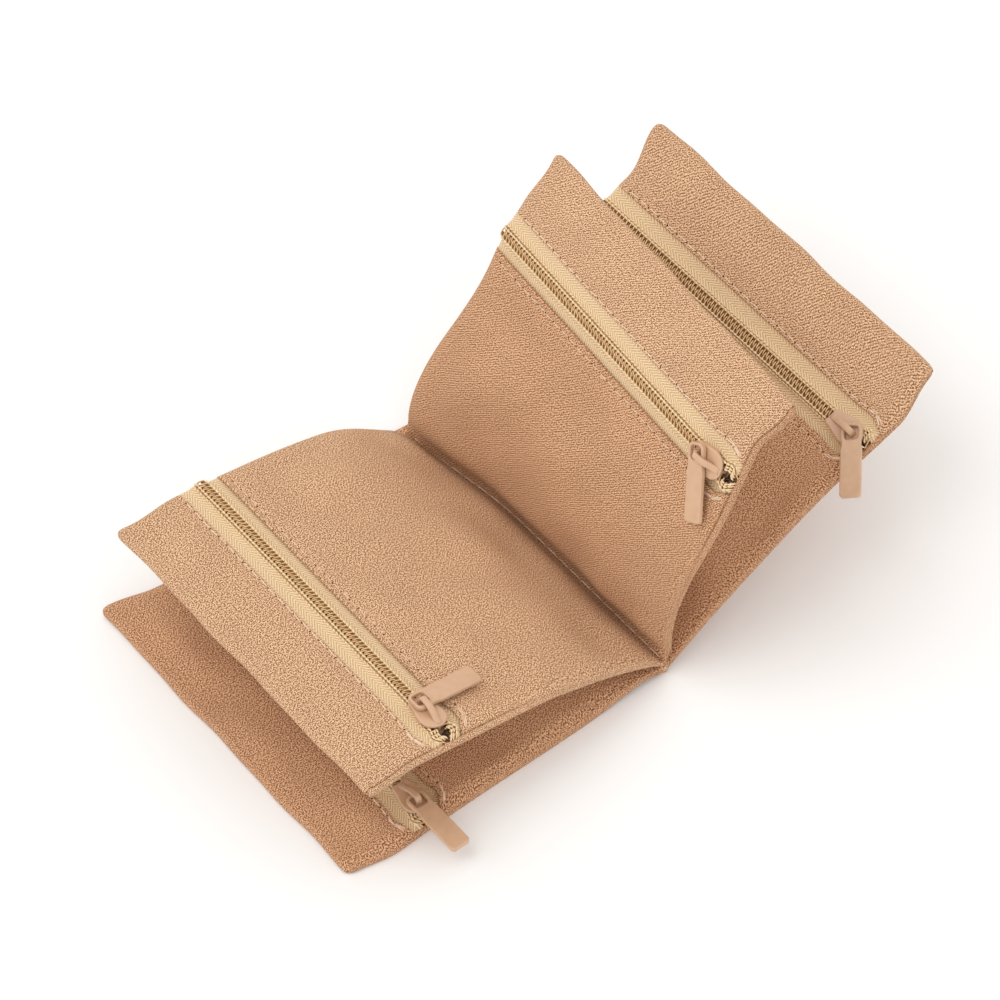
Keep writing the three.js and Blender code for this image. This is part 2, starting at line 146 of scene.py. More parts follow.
# Uneven outline of the sewn cloth: where each draw starts, from the middle of the spine, and its reach
FAR_DRAW_START = 15.0
FAR_DRAW_REACH = 37.0
NEAR_DRAW_PLACE = 62.0
NEAR_DRAW_WIDTH = 34.0
NEAR_DRAW_START = 38.0
NEAR_DRAW_REACH = 14.0
CORNER_START = 24.0
CORNER_REACH = 28.0
SKEW_FADE = 34.0
SKEW_DRAW_START = 28.0
SKEW_DRAW_REACH = 24.0
EDGE_WAVER = 0.22

# Cloth edges beside the zipper: drawn in at the near seam, pushed aside by the slider
END_DRAW_START = 46.5
END_DRAW_REACH = 5.5
PUSH_PLACE = -44.5
PUSH_WIDTH = 3.5
INNER_END_DRAW = 2.0
INNER_PUSH = 0.9
INNER_EDGE_REACH = 12.0
OUTER_END_DRAW = 1.6
OUTER_PUSH = 0.3
OUTER_EDGE_REACH = 10.0

# Slider and pull, in the slider's axes
CHAIN_HALF = 2.55
SHOULDER_HALF = 3.75
SHOULDER_PLACE = -1.6
NOSE_START = -1.9
SLIDER_CORNER = 0.8
LIP_WIDTH = 0.5
LIP_INSET = 0.1
LIP_LEAST = 1.9
LIP_END = 4.4
POST_HALF = 0.4
POST_BACK = -5.0
POST_TAPER = -3.2
POST_POINT = -1.5

LOWER_HINGE = (2.4, 2.4)
UPPER_HINGE = (1.5, 5.2)
# Angles are in degrees. far_draw is an amount, its place along the page and its width.
PAGES = {
    "lower_left": dict(
        side=-1, hinge=LOWER_HINGE, flat=True, root=180, edge=180,
        far_lift=0, zip_lean=-3, edge_lean=0, near_leg=True, pull_turn=0,
        spine_front=2.5, spine_back=0.5, outer_reach=-1.0, near_corner=0.0,
        far_draw=(1.6, 92, 12), near_draw=2.4, seed=11),
    "upper_left": dict(
        side=-1, hinge=UPPER_HINGE, flat=False, root=146, edge=169.5,
        far_lift=0, zip_lean=-2, edge_lean=-4, near_leg=False, pull_turn=90,
        spine_front=SPINE_TOP, spine_back=3.0, outer_reach=1.6, near_corner=0.0,
        far_draw=(-0.9, 91, 9), near_draw=0.0, seed=12),
    "upper_right": dict(
        side=1, hinge=UPPER_HINGE, flat=False, root=97, edge=63.5,
        far_lift=-12, zip_lean=-12, edge_lean=-17, near_leg=False, pull_turn=118,
        spine_front=SPINE_TOP, spine_back=3.0, outer_reach=1.4, near_corner=0.0,
        far_draw=(-2.2, 86, 9), near_draw=0.0, seed=13),
    "lower_right": dict(
        side=1, hinge=LOWER_HINGE, flat=False, root=40, edge=25.5,
        far_lift=5.7, zip_lean=-2, edge_lean=5, near_leg=True, pull_turn=45,
        spine_front=2.5, spine_back=0.5, outer_reach=0.9, near_corner=-3.0,
        far_draw=(2.2, 82, 13), near_draw=2.6, seed=14),
}


def ease(t):
    t = np.clip(t, 0.0, 1.0)
    return t * t * (3 - 2 * t)


def bump(x, place, width):
    return np.exp(-((x - place) / width) ** 2)


# Page form

def middle_line(page):
    """Arc lengths, points and tangents of the page's middle line, in x and z."""
    angles = np.radians([page["root"], page["edge"]])
    root, edge = [np.array([math.cos(a), math.sin(a)]) for a in angles]
    t = np.linspace(0, 1, 400)[:, None]
    bend = 2 * (1 - t) * t * root + t * t * (root + edge)
    reach = np.concatenate([[0], np.cumsum(np.linalg.norm(np.diff(bend, axis=0), axis=1))])
    bend *= BEND_REACH / reach[-1]
    reach *= BEND_REACH / reach[-1]
    tangent = (1 - t) * root + t * edge
    tangent /= np.linalg.norm(tangent, axis=1)[:, None]
    overrun = 5.0
    points = np.vstack([bend, bend[-1] + edge * (PAGE_WIDTH + overrun - BEND_REACH)])
    return np.append(reach, PAGE_WIDTH + overrun), points, np.vstack([tangent, edge]), edge


for page in PAGES.values():
    page["line"] = middle_line(page)


def cloth_at(s):
    return PRESSED_CLOTH + (CLOTH - PRESSED_CLOTH) * ease(s / PRESS_REACH)


def swell_at(s, y):
    from_side = PAGE_LENGTH / 2 - np.abs(y)
    rise = ease(s / FILL_REACH)
    edge_fall = 1 - ease((s - ZIP_END) / (PAGE_WIDTH - ZIP_END))
    pocket_fall = 1 - ease((s - FILL_REACH) / (ZIP_START - FILL_REACH))
    level = ZIP_SWELL * rise * edge_fall * ease(from_side / SIDE_SLOPE)
    return level + POUCH_FILL * rise * pocket_fall * ease(from_side / SIDE_FILL)


def half_at(s, y):
    return LAYER_GAP / 2 + cloth_at(s) + swell_at(s, y)


def lean_at(page, s):
    past_zip = ease((s - ZIP_END) / (PAGE_WIDTH - ZIP_END))
    return page["zip_lean"] * ease(s / ZIP_START) + (page["edge_lean"] - page["zip_lean"]) * past_zip


def round_corners(s, y):
    """Draws the two outer corners of a page in to a rounded plan."""
    past_s = np.clip(1 - (PAGE_WIDTH - s) / CORNER_ROUND, 0, None)
    past_y = np.clip(1 - (PAGE_LENGTH / 2 - np.abs(y)) / CORNER_ROUND, 0, None)
    reach = np.maximum(np.power(past_s ** 4 + past_y ** 4, 0.25), 1e-6)
    share = np.where((past_s > 0) & (past_y > 0), np.maximum(past_s, past_y) / reach, 1.0)
    new_s = s - CORNER_ROUND * past_s * (1 - share)
    return new_s, y - np.sign(y) * CORNER_ROUND * past_y * (1 - share)


def place(page, s, y, n, drawn=True):
    """Points in the part's frame, in millimetres. drawn adds the uneven outline of the sewn cloth."""
    s, y, n = np.broadcast_arrays(*[np.asarray(v, float) for v in (s, y, n)])
    draw = np.zeros(s.shape)
    if drawn:
        s, y = round_corners(s, y)
        amount, where, width = page["far_draw"]
        draw = amount * bump(s, where, width) * ease((y - FAR_DRAW_START) / FAR_DRAW_REACH)
        by_near = ease((-y - NEAR_DRAW_START) / NEAR_DRAW_REACH)
        draw = draw + page["near_draw"] * bump(s, NEAR_DRAW_PLACE, NEAR_DRAW_WIDTH) * by_near
        past_zip = ease((s - ZIP_END) / (PAGE_WIDTH - ZIP_END))
        draw = draw + page["near_corner"] * past_zip * ease((-y - CORNER_START) / CORNER_REACH)
        waver = np.sin(y / 6.1 + page["seed"]) + 0.6 * np.sin(y / 3.3 + 2 * page["seed"])
        s = s + (page["outer_reach"] + EDGE_WAVER * waver) * past_zip
    reach, points, tangents, edge = page["line"]
    side = page["side"]
    mid_x, mid_z = [np.interp(s, reach, points[:, k]) for k in (0, 1)]
    tan_x, tan_z = [np.interp(s, reach, tangents[:, k]) for k in (0, 1)]
    lift = page["far_lift"] * y / PAGE_LENGTH * ease(s / BEND_REACH)
    x = side * page["hinge"][0] + mid_x - side * tan_z * n - side * edge[1] * lift
    z = page["hinge"][1] + mid_z + side * tan_x * n + side * edge[0] * lift
    if page["flat"]:
        root_lift = (page["hinge"][1] - ROOT_HALF) * (1 - ease(s / REST_REACH))
        z = half_at(s, y) + root_lift + n
    if drawn and page["hinge"] == UPPER_HINGE:
        by_spine = 1 - ease(s / SKEW_FADE)
        x = x + SPINE_SKEW[0] * ease((y - SKEW_START) / SKEW_REACH) * by_spine
        draw = draw + SPINE_SKEW[1] * ease((y - SKEW_DRAW_START) / SKEW_DRAW_REACH) * by_spine
    return np.stack([x, y + lean_at(page, s) + draw, z], -1)


def crowd(s, y):
    """Cloth edges beside the zipper, pushed aside by the slider and drawn in at the near seam."""
    end = ease((-y - END_DRAW_START) / END_DRAW_REACH)
    aside = bump(y, PUSH_PLACE, PUSH_WIDTH)
    inner = INNER_END_DRAW * end - INNER_PUSH * aside
    inner = inner * ease((s - FRONT_EDGE + INNER_EDGE_REACH) / INNER_EDGE_REACH)
    outer = OUTER_END_DRAW * end - OUTER_PUSH * aside
    outer = outer * (1 - ease((s - STRIP_EDGE) / OUTER_EDGE_REACH))
    return s + np.where(s < ZIP_PLACE, inner, -outer)


# Cloth surfaces

def rim_at(s, y):
    """Distance in from the nearest free edge."""
    return np.minimum(PAGE_LENGTH / 2 - np.abs(y), PAGE_WIDTH - s)


def quarter_round(share):
    return np.sqrt(np.clip(1 - (1 - np.clip(share, 0, 1)) ** 2, 0, 1))


def crown_at(s, y):
    """Swell of the page, held full to the very ends of the zipper, which turns over the side seams."""
    from_side = PAGE_LENGTH / 2 - np.abs(y)
    level = ZIP_SWELL * ease(s / FILL_REACH) * (1 - ease((s - ZIP_END) / (PAGE_WIDTH - ZIP_END)))
    lifted = ease(from_side / END_SLOPE) - ease(from_side / SIDE_SLOPE)
    return swell_at(s, y) + level * lifted * bump(s, ZIP_PLACE, 10)


def groove_at(page, s):
    """Depth of the groove beside the near welt: none by the spine and on the lower pages."""
    return ease((s - WELT_START) / WELT_START) * (page["hinge"] == UPPER_HINGE)


def body_at(page, s, y):
    """Half the cloth's own thickness: folded round at the outer edge, turned in at the side seams."""
    outer = quarter_round((PAGE_WIDTH - s) / RIM_ROUND)
    near = y < 0
    tuck = np.where(near, 0.6 - 0.58 * groove_at(page, s), SIDE_TUCK)
    near_inset = (PAGE_LENGTH / 2 + y - WELT_SEAM) / WELT_TURN
    inset = np.where(near, near_inset, (PAGE_LENGTH / 2 - y) / RIM_ROUND)
    side = tuck + (1 - tuck) * quarter_round(inset)
    return RIM_HALF * np.minimum(outer, side) * cloth_at(s) / CLOTH


def rumple_at(page, s, y, amount):
    """Soft unevenness of the cloth, still at the seams, the spine and the zipper."""
    random = np.random.default_rng(page["seed"])
    total = np.zeros(np.broadcast(s, y).shape)
    for _ in range(9):
        angle = random.uniform(0, math.pi)
        length = random.uniform(18, 46)
        phase = random.uniform(0, 2 * math.pi)
        total += np.sin((s * math.cos(angle) + y * math.sin(angle)) * 2 * math.pi / length + phase)
    still = ease(rim_at(s, y) / 9) * ease(s / 14) * ease(np.abs(s - ZIP_PLACE) / 10 - 0.7)
    return amount * total / 3 * still


def front_at(page, s, y):
    """Height of the front cloth's outside over the middle surface."""
    pucker = 0.75 + 0.25 * np.cos(2 * math.pi * y / STITCH_PITCH)
    sewn = 0.3 * (bump(s, INNER_STITCH, 0.8) + bump(s, OUTER_STITCH, 0.8)) * pucker * ease(rim_at(s, y) / 4)
    plump = 1.6 * bump(s, 9, 6) * ease(rim_at(s, y) / 9) * (page["hinge"] == UPPER_HINGE)
    return body_at(page, s, y) + crown_at(s, y) - sewn + plump + rumple_at(page, s, y, 0.6)


def back_at(page, s, y):
    amount = 0.0 if page["flat"] else -0.35
    bowed = body_at(page, s, y) + crown_at(s, y) + rumple_at(page, s, y, amount)
    return np.minimum(bowed, half_at(s, y) + (0.0 if page["flat"] else 0.6))


def zip_level(page, y):
    """Height of the cloth's outside beside the zipper, as far as its rolled far end."""
    y = np.minimum(y, PAGE_LENGTH / 2 - END_ROLL)
    return body_at(page, ZIP_PLACE, y) + crown_at(ZIP_PLACE, y)


def along_zip(page, s, y, height):
    """Zipper points at a height over its cloth, carried round the page's rolled far end."""
    s, y, height = np.broadcast_arrays(s, y, height)
    start = PAGE_LENGTH / 2 - END_ROLL
    turn = np.clip(y - start, 0, None) / END_ROLL
    level = zip_level(page, y) + height
    reach = END_ROLL + (height - TAPE_TOP) * (1 - 0.5 * ease(turn))
    return place(page, s, np.where(turn > 0, start + reach * np.sin(turn), y), level * np.cos(turn))


# Mesh helpers

def new_object(name, verts, faces, material, uvs=None, smooth=True):
    mesh = bpy.data.meshes.new(name)
    mesh.from_pydata((np.asarray(verts) * MM).tolist(), [], faces)
    if uvs is not None:
        layer = mesh.uv_layers.new(name="page")
        corners = np.zeros(len(mesh.loops), np.int32)
        mesh.loops.foreach_get("vertex_index", corners)
        layer.data.foreach_set("uv", np.asarray(uvs, np.float32)[corners].ravel())
    mesh.polygons.foreach_set("use_smooth", [smooth] * len(mesh.polygons))
    mesh.materials.append(material)
    obj = bpy.data.objects.new(name, mesh)
    bpy.context.collection.objects.link(obj)
    return obj


def grid_faces(rows, columns, start=0, flip=False):
    faces = []
    for i in range(rows - 1):
        for j in range(columns - 1):
            a = start + i * columns + j
            quad = (a, a + 1, a + columns + 1, a + columns)
            faces.append(quad[::-1] if flip else quad)
    return faces


def sheet_faces(rows, columns, flip):
    """Faces of a closed sheet: its outside grid, its inside grid and the border between them."""
    count = rows * columns
    faces = grid_faces(rows, columns, 0, not flip) + grid_faces(rows, columns, count, flip)
    border = list(range(columns)) + [i * columns + columns - 1 for i in range(1, rows)]
    border += [(rows - 1) * columns + j for j in range(columns - 2, -1, -1)]
    border += [i * columns for i in range(rows - 2, 0, -1)]
    for a, b in zip(border, border[1:] + border[:1]):
        quad = (a, b, b + count, a + count)
        faces.append(quad[::-1] if flip else quad)
    return faces


def ring_faces(rings, sides, flip=False):
    """Faces of a closed bar made of rings of points."""
    faces = []
    for i in range(rings - 1):
        for j in range(sides):
            a, b = i * sides + j, i * sides + (j + 1) % sides
            faces.append((a, b, b + sides, a + sides))
    faces.append(tuple(range(sides))[::-1])
    faces.append(tuple((rings - 1) * sides + j for j in range(sides)))
    return [face[::-1] for face in faces] if flip else faces


HALF = PAGE_LENGTH / 2


def shell(name, page, s_list, y_list, top, bottom, material, gather=None):
    """A closed sheet between its outside and inside heights. gather draws its root to the spine."""
    rows, columns = len(s_list), len(y_list)
    s, y = [v.ravel() for v in np.meshgrid(s_list, y_list, indexing="ij")]
    bent = s if name.endswith("back_cloth") else crowd(s, y)
    by_welt = 1 - ease((y + HALF - WELT_SEAM) / 3)
    over_welt = (WELT_SEAM - WELT_COVER) * (1 - groove_at(page, s)) * by_welt
    spread = y - over_welt
    tucked = np.minimum(spread, HALF - SEAM_DEPTH)
    outside = place(page, bent, spread, top(s, y))
    inside = place(page, bent, tucked, bottom(s, y))
    layers = [outside, inside]
    if gather:
        layers = [gather(points, s, k) for k, points in enumerate(layers)]
    faces = sheet_faces(rows, columns, (page["side"] > 0) != name.endswith("back_cloth"))
    by_side = HALF - np.abs(y) < PAGE_WIDTH - s
    turned = RIM_HALF * cloth_at(s) / CLOTH - body_at(page, s, y)
    uvs = []
    for over in (turned, turned + CLOTH):
        over_y = np.where(by_side, np.sign(y) * over, 0)
        uvs.append(np.stack([s + np.where(by_side, 0, over), y + over_y], -1))
    return new_object(name, np.vstack(layers), faces, material, np.vstack(uvs))


def tube(points, radius, sides):
    """Vertices and faces of a closed round tube along points."""
    points = np.asarray(points, float)
    radii = np.broadcast_to(np.asarray(radius, float), (len(points),))
    tangents = np.gradient(points, axis=0)
    tangents /= np.linalg.norm(tangents, axis=1)[:, None]
    across = np.cross(tangents[0], [0.3, 0.5, 0.8])
    turns = np.linspace(0, 2 * math.pi, sides, endpoint=False)
    rings = []
    for point, tangent, r in zip(points, tangents, radii):
        across = across - tangent * (across @ tangent)
        across /= np.linalg.norm(across)
        up = np.cross(tangent, across)
        rings.append(point + r * (np.outer(np.cos(turns), across) + np.outer(np.sin(turns), up)))
    return np.vstack(rings), ring_faces(len(points), sides)


def join_parts(parts):
    verts, faces, start = [], [], 0
    for part_verts, part_faces in parts:
        verts.append(part_verts)
        faces += [tuple(i + start for i in face) for face in part_faces]
        start += len(part_verts)
    return np.vstack(verts), faces


# Materials

def material(name, roughness, **sockets):
    mat = bpy.data.materials.new(name)
    mat.use_nodes = True
    shader = mat.node_tree.nodes["Principled BSDF"]
    shader.inputs["Roughness"].default_value = roughness
    for socket, value in sockets.items():
        shader.inputs[socket.replace("_", " ")].default_value = value
    return mat, mat.node_tree, shader


def linear(red, green, blue):
    """An sRGB colour of 0 to 255 as linear light."""
    channels = [c / 255 for c in (red, green, blue)]
    return tuple(c / 12.92 if c <= 0.04045 else ((c + 0.055) / 1.055) ** 2.4 for c in channels) + (1.0,)


def add(tree, kind, **values):
    node = tree.nodes.new(kind)
    for key, value in values.items():
        if hasattr(node, key):
            setattr(node, key, value)
        else:
            node.inputs[key.replace("_", " ")].default_value = value
    return node


def mixed(tree, factor, a, b, mode="MIX"):
    node = add(tree, "ShaderNodeMix", data_type="RGBA", blend_type=mode)
    if isinstance(factor, float):
        node.inputs[0].default_value = factor
    else:
        tree.links.new(factor, node.inputs[0])
    for socket, value in ((node.inputs[6], a), (node.inputs[7], b)):
        if isinstance(value, tuple):
            socket.default_value = value
        else:
            tree.links.new(value, socket)
    return node.outputs[2]


def math_node(tree, operation, a, b=0.0):
    node = add(tree, "ShaderNodeMath", operation=operation)
    for socket, value in zip(node.inputs, (a, b)):
        if isinstance(value, (int, float)):
            socket.default_value = value
        else:
            tree.links.new(value, socket)
    return node.outputs[0]


def noise(tree, vector, scale, detail=2.0, roughness=0.5, distortion=0.0):
    node = add(tree, "ShaderNodeTexNoise", Scale=scale, Detail=detail, Distortion=distortion)
    node.inputs["Roughness"].default_value = roughness
    tree.links.new(vector, node.inputs["Vector"])
    return node.outputs["Fac"]


def ramp(tree, value, low, high):
    node = add(tree, "ShaderNodeMapRange")
    node.inputs["From Min"].default_value = low
    node.inputs["From Max"].default_value = high
    tree.links.new(value, node.inputs["Value"])
    return node.outputs["Result"]


NAP_SCALE = 2.9
TWILL_PITCH = 0.64


def ribs(tree, coords, direction, pitch, waver):
    """Even ribs across a direction of the cloth, from 0 to 1, with a wavering place."""
    split = add(tree, "ShaderNodeSeparateXYZ")
    tree.links.new(coords, split.inputs[0])
    size = math.hypot(*direction)
    rates = [2 * math.pi * part / size / pitch for part in direction]
    parts = [math_node(tree, "MULTIPLY", split.outputs[k], rates[k]) for k in (0, 1)]
    phase = math_node(tree, "ADD", math_node(tree, "ADD", *parts), waver)
    return ramp(tree, math_node(tree, "SINE", phase), -1.0, 1.0)


def suede_material(name, tones, twill_share, painted_shade=(1.0, 1.0, 1.0, 1.0)):
    """Tan brushed cloth: soft mottling, a twill of a given share and a short nap. A tint, where given,
    darkens it with painted shade.
    """
    mat, tree, shader = material(name, 0.92, Sheen_Weight=0.06, Sheen_Roughness=0.5, Specular_IOR_Level=0.2)
    shader.inputs["Sheen Tint"].default_value = linear(255, 226, 196)
    coords = add(tree, "ShaderNodeUVMap", uv_map="page").outputs["UV"]
    cloud = ramp(tree, noise(tree, coords, 0.045, 3.0, 0.55), 0.36, 0.66)
    blotch = ramp(tree, noise(tree, coords, 0.32, 4.0, 0.6), 0.3, 0.72)
    nap = ramp(tree, noise(tree, coords, NAP_SCALE, 1.0, 0.5), 0.25, 0.75)
    waver = math_node(tree, "MULTIPLY", noise(tree, coords, 0.9, 2.0), 8.0)
    twill = ribs(tree, coords, (1.0, 1.0), TWILL_PITCH, waver)
    tone = mixed(tree, cloud, linear(*tones[0]), linear(*tones[1]))
    tone = mixed(tree, math_node(tree, "MULTIPLY", blotch, 0.3), tone, linear(*tones[2]))
    dark = mixed(tree, 0.8, tone, linear(100, 56, 30))
    light = mixed(tree, 0.68, tone, linear(255, 220, 182))
    grain = math_node(tree, "MULTIPLY", nap, 1 - twill_share)
    grain = math_node(tree, "ADD", grain, math_node(tree, "MULTIPLY", twill, twill_share))
    grain = ramp(tree, grain, 0.31, 0.69)
    # Painted shade: the tint multiplies the cloth's colour to darken it.
    color = mixed(tree, 1.0, mixed(tree, grain, dark, light), painted_shade, "MULTIPLY")
    tree.links.new(color, shader.inputs["Base Color"])
    bump_node = add(tree, "ShaderNodeBump", Strength=0.35, Distance=0.08 * MM)
    tree.links.new(grain, bump_node.inputs["Height"])
    tree.links.new(bump_node.outputs[0], shader.inputs["Normal"])
    return mat


def tape_material():
    """Woven zipper tape: golden beige herringbone."""
    mat, tree, shader = material("tape", 0.8, Sheen_Weight=0.15, Specular_IOR_Level=0.3)
    coords = add(tree, "ShaderNodeUVMap", uv_map="page").outputs["UV"]
    split = add(tree, "ShaderNodeSeparateXYZ")
    tree.links.new(coords, split.inputs[0])
    zigzag = add(tree, "ShaderNodeMath", operation="PINGPONG")
    tree.links.new(split.outputs[0], zigzag.inputs[0])
    zigzag.inputs[1].default_value = 1.9
    slant = math_node(tree, "ADD", split.outputs[1], math_node(tree, "MULTIPLY", zigzag.outputs[0], 1.5))
    rib = ramp(tree, math_node(tree, "SINE", math_node(tree, "MULTIPLY", slant, 5.6)), -1.0, 1.0)
    fibre = ramp(tree, noise(tree, coords, 2.6, 2.0), 0.3, 0.7)
    fibre = math_node(tree, "MULTIPLY", fibre, 0.3)
    weave = math_node(tree, "ADD", math_node(tree, "MULTIPLY", rib, 0.7), fibre)
    color = mixed(tree, weave, linear(190, 150, 104), linear(245, 222, 184))
    tree.links.new(color, shader.inputs["Base Color"])
    bump_node = add(tree, "ShaderNodeBump", Strength=0.7, Distance=0.2 * MM)
    tree.links.new(weave, bump_node.inputs["Height"])
    tree.links.new(bump_node.outputs[0], shader.inputs["Normal"])
    return mat


def fibre_material(name, dark, light, roughness, scale):
    """Thread, nylon wire and paint: two near tones over a fine noise, with a slight bump."""
    mat, tree, shader = material(name, roughness)
    coords = add(tree, "ShaderNodeTexCoord").outputs["Object"]
    grain = ramp(tree, noise(tree, coords, scale, 3.0), 0.3, 0.7)
    tree.links.new(mixed(tree, grain, dark, light), shader.inputs["Base Color"])
    bump_node = add(tree, "ShaderNodeBump", Strength=0.25, Distance=0.05 * MM)
    tree.links.new(grain, bump_node.inputs["Height"])
    tree.links.new(bump_node.outputs[0], shader.inputs["Normal"])
    return mat, shader


TAN = ((187, 131, 86), (211, 155, 108), (182, 125, 81))
# Painted shade: deeper tones for the lower pages, and a darkening tint for them and for the upper right
# page's front and welt, in place of shading from light.
PAINTED_SHADE_TAN = ((190, 126, 80), (210, 147, 98), (184, 120, 75))
PAINTED_SHADE_TINT = (0.92, 0.85, 0.81, 1.0)
SUEDE = suede_material("suede", TAN, 0.07)
SUEDE_RIBBED = suede_material("suede_ribbed", TAN, 0.24)
SUEDE_RIBBED_PAINTED_SHADE = suede_material("suede_ribbed_painted_shade", TAN, 0.24, PAINTED_SHADE_TINT)
SUEDE_PAINTED_SHADE = suede_material("suede_painted_shade", PAINTED_SHADE_TAN, 0.1, PAINTED_SHADE_TINT)
WEAVE = tape_material()
THREAD, _ = fibre_material("thread", linear(216, 182, 150), linear(244, 222, 198), 0.7, 2500)
SEWING, _ = fibre_material("sewing", linear(216, 182, 136), linear(248, 224, 184), 0.7, 2500)
# Filler cord: partly its own colour, partly painted shade for the gaps between the coil's loops.
CORE_AND_GAP_SHADE, _ = fibre_material("core_and_gap_shade", linear(112, 72, 36), linear(142, 98, 54), 0.8, 1500)
# Needle holes, and painted shade in the hollow between the parted coil halves.
DARK_HOLE_AND_HOLLOW_SHADE, _ = fibre_material("needle_hole_and_hollow_shade", linear(38, 20, 16), linear(56, 30, 22), 0.95, 2500)
NYLON, _ = fibre_material("nylon", linear(198, 156, 104), linear(232, 196, 148), 0.38, 900)
PAINT, paint_shader = fibre_material("paint", linear(198, 160, 127), linear(206, 168, 136), 0.38, 400)
paint_shader.inputs["Coat Weight"].default_value = 0.25
paint_shader.inputs["Coat Roughness"].default_value = 0.35


# Stations of the cloth grids: closer at the rims, the zipper edges and the spine

def stations(stops, steps):
    """Places from stop to stop, each stretch with a step of its own."""
    places = [stops[0]]
    for start, end, step in zip(stops, stops[1:], steps):
        count = max(1, round((end - start) / step))
        places += list(start + (end - start) * np.arange(1, count + 1) / count)
    return np.array(places)


ROUND_STEPS = RIM_ROUND * (1 - np.cos(np.linspace(0, math.pi / 2, 9)))
Y_INNER = stations([2.4 - HALF, 4 - HALF, HALF - 4, HALF - RIM_ROUND], [0.4, 1.0, 0.4])[1:-1]
Y_NEAR = stations([WELT_SEAM - HALF, WELT_SEAM + WELT_TURN - HALF, 2.4 - HALF], [0.07, 0.2])
Y_STATIONS = np.concatenate([Y_NEAR, Y_INNER, HALF - ROUND_STEPS[::-1]])
OUTER_ROUND = PAGE_WIDTH - ROUND_STEPS[::-1]
FRONT_STATIONS = stations([0, 10, FRONT_EDGE - 3, FRONT_EDGE - 0.45, FRONT_EDGE], [0.6, 1.2, 0.3, 0.09])
STRIP_STOPS = [STRIP_EDGE, STRIP_EDGE + 0.45, STRIP_EDGE + 3, OUTER_ROUND[0]]
STRIP_INNER = stations(STRIP_STOPS, [0.09, 0.3, 1.0])[:-1]
STRIP_STATIONS = np.concatenate([STRIP_INNER, OUTER_ROUND])
BACK_STATIONS = np.concatenate([stations([0, 10, OUTER_ROUND[0]], [0.6, 1.3])[:-1], OUTER_ROUND])
GATHER_REACH = 4.5
LEAST_CLOTH = 0.04


def gathered(page, heights):
    """Draws the root of a sheet to the middle of the spine, at one height for each of its two sides."""
    def gather(points, s, layer, center=False):
        target = np.array([0.0, 0.0, heights[layer]])
        first = place(page, 0.0, 0.0, 0.0) if center else points[np.argmin(s)]
        root = np.array([first[0], 0.0, first[2]])
        pull = (1 - ease(s / GATHER_REACH))[:, None]
        return points + pull * (target - root)
    return gather


def fold_drop(distance):
    """How far a folded edge turns down, by the distance in from it."""
    t = np.clip(distance / FOLD_ROUND, 0, 1)
    return FOLD_ROUND * (1 - np.sqrt(np.clip(1 - (1 - t) ** 2, 0, 1)))


def hold(obj, name, blended):
    """Attaches a cloth to its page; a blended cloth on a page other than the root is baked in place and
    left unattached.
    """
    page = PAGES[name]
    if name == ROOT or not blended:
        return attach(obj, name)
    end = Vector(place(page, 11.0, 0.0, 0.0) * MM)
    end.y = 0
    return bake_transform(obj)


def strip_cloth(page):
    """Edge strips: darkened with painted shade on the lowest page, ribbed on the right pages."""
    if page["flat"]:
        return SUEDE_PAINTED_SHADE
    return SUEDE_RIBBED if page["side"] > 0 else SUEDE


def page_cloth(page):
    # Painted shade: the lower pages and the upper right page take darkened cloth.
    if page["hinge"] == LOWER_HINGE:
        return SUEDE_PAINTED_SHADE
    return SUEDE_RIBBED_PAINTED_SHADE if page["side"] > 0 else SUEDE


def make_cloth(name):
    page = PAGES[name]
    cloth = page_cloth(page)

    def front_top(s, y):
        return front_at(page, s, y) - fold_drop(np.abs(s - np.where(s < ZIP_PLACE, FRONT_EDGE, STRIP_EDGE)))

    def front_under(s, y):
        edge = np.where(s < ZIP_PLACE, FRONT_EDGE, STRIP_EDGE)
        height = front_at(page, s, y)
        thick = np.clip(0.85 * height, LEAST_CLOTH, cloth_at(s))
        return height - thick + fold_drop(np.abs(s - edge)) * thick / CLOTH

    def back_outside(s, y):
        return -back_at(page, s, y)

    def back_inside(s, y):
        return back_outside(s, y) + np.clip(0.85 * back_at(page, s, y), LEAST_CLOTH, cloth_at(s))

    front_root = gathered(page, (page["spine_front"], page["spine_front"] - PRESSED_CLOTH))
    back_root = gathered(page, (page["spine_back"], page["spine_back"] + PRESSED_CLOTH))
    front_sides = (Y_STATIONS, front_top, front_under)
    back_sides = (Y_STATIONS, back_outside, back_inside)
    front = shell(f"{name}_front_cloth", page, FRONT_STATIONS, *front_sides, cloth, front_root)
    strip = shell(f"{name}_edge_cloth", page, STRIP_STATIONS, *front_sides, strip_cloth(page))
    back = shell(f"{name}_back_cloth", page, BACK_STATIONS, *back_sides, cloth, back_root)
    for obj, node, blended, length, under in (
        (front, "front_panel", True, FRONT_EDGE, "spine_seam_cloth"),
        (strip, "edge_strip", False, PAGE_WIDTH - STRIP_EDGE, back.name),
        (back, "back_panel", True, PAGE_WIDTH, "spine_seam_cloth"),
    ):
        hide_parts(f"{name}_{node}")
        hold(obj, name, blended)


